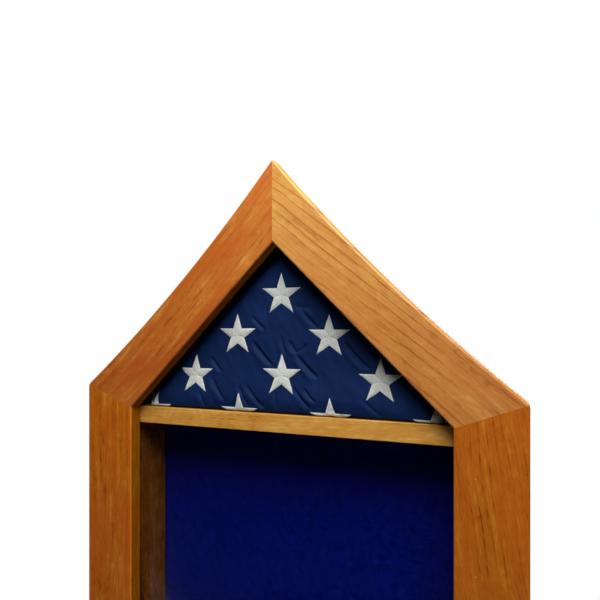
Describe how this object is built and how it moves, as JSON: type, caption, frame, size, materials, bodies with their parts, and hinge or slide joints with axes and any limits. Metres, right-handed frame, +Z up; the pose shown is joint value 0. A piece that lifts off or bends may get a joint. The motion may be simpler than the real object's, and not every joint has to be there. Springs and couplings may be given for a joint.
{
  "type": "folded flag display case",
  "caption": "Wall-hung five-sided wooden shadow box with hollow-curved shoulders, holding a folded flag on a shelf above a felt-lined display space behind glass.",
  "frame": {"origin": "bottom centre of the bounding box: midway between the frame's front face and the wall, on the case's centre plane, level with the bottom edge of the face frame", "axes": "+X to the right as seen from the front, -Y towards the viewer, +Z up"},
  "size_m": [0.5588, 0.104, 0.7603],
  "materials": {
    "frame_wood": "satin lacquer on cherry, grain along each member",
    "box_wood": "satin lacquer on darker cherry",
    "bead_wood": "dark stained wood, satin",
    "biscuit_wood": "pressed beech, raw",
    "shelf_wood": "light golden wood, satin lacquer",
    "panel_wood": "smooth brown hardboard",
    "backing_card": "plain grey board",
    "blue_felt": "royal-blue felt, matte with a short nap",
    "flag_fabric": "navy woven cloth with raised off-white embroidery",
    "clear_glass": "clear, polished",
    "brad_steel": "bright drawn wire",
    "screw_steel": "zinc plated",
    "hanger_steel": "nickel-plated steel",
    "button_brass": "brass-plated steel, satin",
    "screw_brass": "brass plated",
    "filler": "dry wood filler, a little lighter than the wood",
    "bumper_rubber": "black rubber"
  },
  "bodies": {
    "case": {"back_panel": "panel_wood", "backing_board": "backing_card", "backing_felt": "blue_felt", "box_board_bottom": "box_wood", "box_board_left": "box_wood", "box_board_right": "box_wood", "box_board_upper_left": "box_wood", "box_board_upper_right": "box_wood", "brad_fillers": "filler", "face_rail_bottom": "frame_wood", "face_rail_upper_left": "frame_wood", "face_rail_upper_right": "frame_wood", "face_stile_left": "frame_wood", "face_stile_right": "frame_wood", "folded_flag": "flag_fabric", "frame_brads": "brad_steel", "glass_pane": "clear_glass", "glazing_bead_bottom": "bead_wood", "glazing_bead_left": "bead_wood", "glazing_bead_right": "bead_wood", "glazing_bead_upper_left": "bead_wood", "glazing_bead_upper_right": "bead_wood", "hanger_plate_left": "hanger_steel", "hanger_plate_right": "hanger_steel", "hanger_screws": "screw_steel", "mitre_biscuits": "biscuit_wood", "shelf": "shelf_wood", "shelf_screws": "screw_steel", "turn_button_screws": "screw_brass", "wall_bumpers": "bumper_rubber"},
    "turn_button_bottom": {"turn_button_bottom": "button_brass"},
    "turn_button_right_1": {"turn_button_right_1": "button_brass"},
    "turn_button_right_2": {"turn_button_right_2": "button_brass"},
    "turn_button_upper_right": {"turn_button_upper_right": "button_brass"},
    "turn_button_upper_left": {"turn_button_upper_left": "button_brass"},
    "turn_button_left_1": {"turn_button_left_1": "button_brass"},
    "turn_button_left_2": {"turn_button_left_2": "button_brass"},
    "hanger_ring_left": {"hanger_ring_left": "hanger_steel"},
    "hanger_ring_right": {"hanger_ring_right": "hanger_steel"}
  },
  "joints": [
    {"name": "button_turn_bottom", "type": "hinge", "parent": "case", "child": "turn_button_bottom", "pos_m": [0, 0.047, 0.05], "axis": [0, 1, 0], "continuous": true},
    {"name": "button_turn_right_1", "type": "hinge", "parent": "case", "child": "turn_button_right_1", "pos_m": [0.2294, 0.047, 0.15413], "axis": [0, 1, 0], "continuous": true},
    {"name": "button_turn_right_2", "type": "hinge", "parent": "case", "child": "turn_button_right_2", "pos_m": [0.2294, 0.047, 0.32491], "axis": [0, 1, 0], "continuous": true},
    {"name": "button_turn_upper_right", "type": "hinge", "parent": "case", "child": "turn_button_upper_right", "pos_m": [0.1147, 0.047, 0.58123], "axis": [0, 1, 0], "continuous": true},
    {"name": "button_turn_upper_left", "type": "hinge", "parent": "case", "child": "turn_button_upper_left", "pos_m": [-0.1147, 0.047, 0.58123], "axis": [0, 1, 0], "continuous": true},
    {"name": "button_turn_left_1", "type": "hinge", "parent": "case", "child": "turn_button_left_1", "pos_m": [-0.2294, 0.047, 0.32491], "axis": [0, 1, 0], "continuous": true},
    {"name": "button_turn_left_2", "type": "hinge", "parent": "case", "child": "turn_button_left_2", "pos_m": [-0.2294, 0.047, 0.15413], "axis": [0, 1, 0], "continuous": true},
    {"name": "ring_fold_left", "type": "hinge", "parent": "case", "child": "hanger_ring_left", "pos_m": [-0.2294, 0.04853, 0.4], "axis": [-1, 0, 0], "range_deg": [0, 150]},
    {"name": "ring_fold_right", "type": "hinge", "parent": "case", "child": "hanger_ring_right", "pos_m": [0.2294, 0.04853, 0.4], "axis": [-1, 0, 0], "range_deg": [0, 150]}
  ]
}
